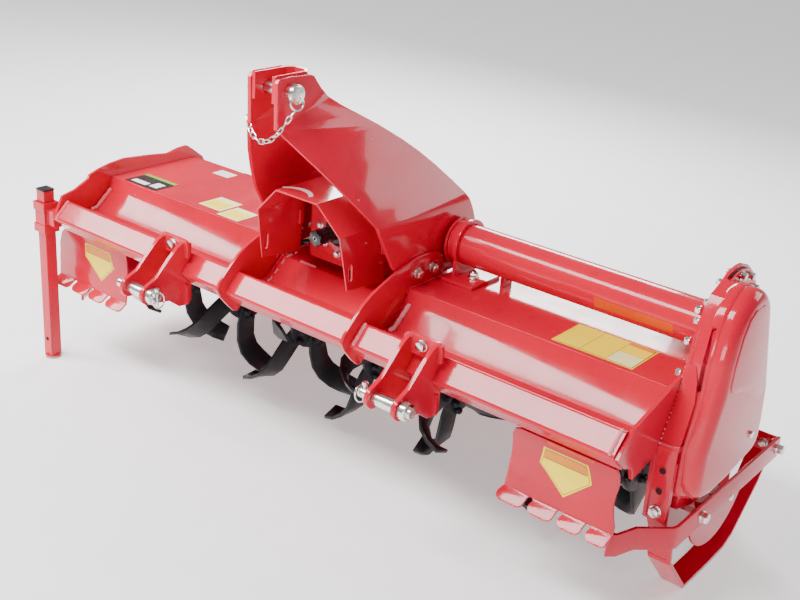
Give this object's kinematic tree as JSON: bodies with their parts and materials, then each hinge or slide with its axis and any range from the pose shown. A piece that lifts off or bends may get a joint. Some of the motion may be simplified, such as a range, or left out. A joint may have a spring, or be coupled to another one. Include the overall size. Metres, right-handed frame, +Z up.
{
  "type": "rotary tiller",
  "caption": "Shaft-driven rotary tiller for a three-point hitch, with a side drive, a bladed rotor under a folded steel deck, skids, guards, a hinged rear gate and a parking stand.",
  "frame": {"origin": "middle of the overall footprint, on the ground", "axes": "X runs across the machine with the side drive at +X, -Y is the hitch side, +Z is up"},
  "size_m": [1.7705, 0.8136, 0.938],
  "materials": {
    "red_paint": "glossy red machine enamel",
    "black_paint": "semi-gloss black enamel",
    "bright_steel": "zinc-plated, lightly worn"
  },
  "bodies": {
    "frame": {"band_left": "red_paint", "bearing_left": "red_paint", "centre_plate_left": "red_paint", "centre_plate_right": "red_paint", "cross_tube": "red_paint", "deck_centre": "red_paint", "deck_left": "red_paint", "deck_right": "red_paint", "drive_shield": "red_paint", "end_plate_left": "red_paint", "end_plate_right": "red_paint", "front_beam": "red_paint", "gate_rod": "bright_steel", "gearbox": "red_paint", "guard_left": "red_paint", "guard_right": "red_paint", "hitch_left": "red_paint", "hitch_left_pin": "bright_steel", "hitch_right": "red_paint", "hitch_right_pin": "bright_steel", "mast_clevis": "red_paint", "mast_plate_left": "red_paint", "mast_plate_right": "red_paint", "side_case": "red_paint", "side_cover": "red_paint", "side_lug": "red_paint", "skid_left": "red_paint", "skid_right": "red_paint", "stand_sleeve": "red_paint", "top_link_pin": "bright_steel", "tube_saddle": "red_paint"},
    "rotor": {"rotor_shaft": "black_paint", "tine_set_1": "black_paint", "tine_set_2": "black_paint", "tine_set_3": "black_paint", "tine_set_4": "black_paint", "tine_set_5": "black_paint", "tine_set_6": "black_paint", "tine_set_7": "black_paint"},
    "input_shaft": {"pto_shaft": "bright_steel"},
    "stand": {"stand_leg": "red_paint"},
    "gate": {"rear_gate": "red_paint"}
  },
  "joints": [
    {"name": "rotor_spin", "type": "hinge", "parent": "frame", "child": "rotor", "pos_m": [-0.005, 0.0648, 0.227], "axis": [1, 0, 0], "continuous": true},
    {"name": "input_spin", "type": "hinge", "parent": "frame", "child": "input_shaft", "pos_m": [-0.005, -0.1672, 0.564], "axis": [0, 1, 0], "continuous": true},
    {"name": "stand_slide", "type": "slide", "parent": "frame", "child": "stand", "axis": [0, 0, 1], "range_m": [0, 0.27]},
    {"name": "gate_hinge", "type": "hinge", "parent": "frame", "child": "gate", "pos_m": [-0.005, 0.1888, 0.465], "axis": [1, 0, 0], "range_deg": [0, 60]}
  ],
  "couplings": [
    {"joint": "input_spin", "follows": "rotor_spin", "ratio": 2.6}
  ]
}
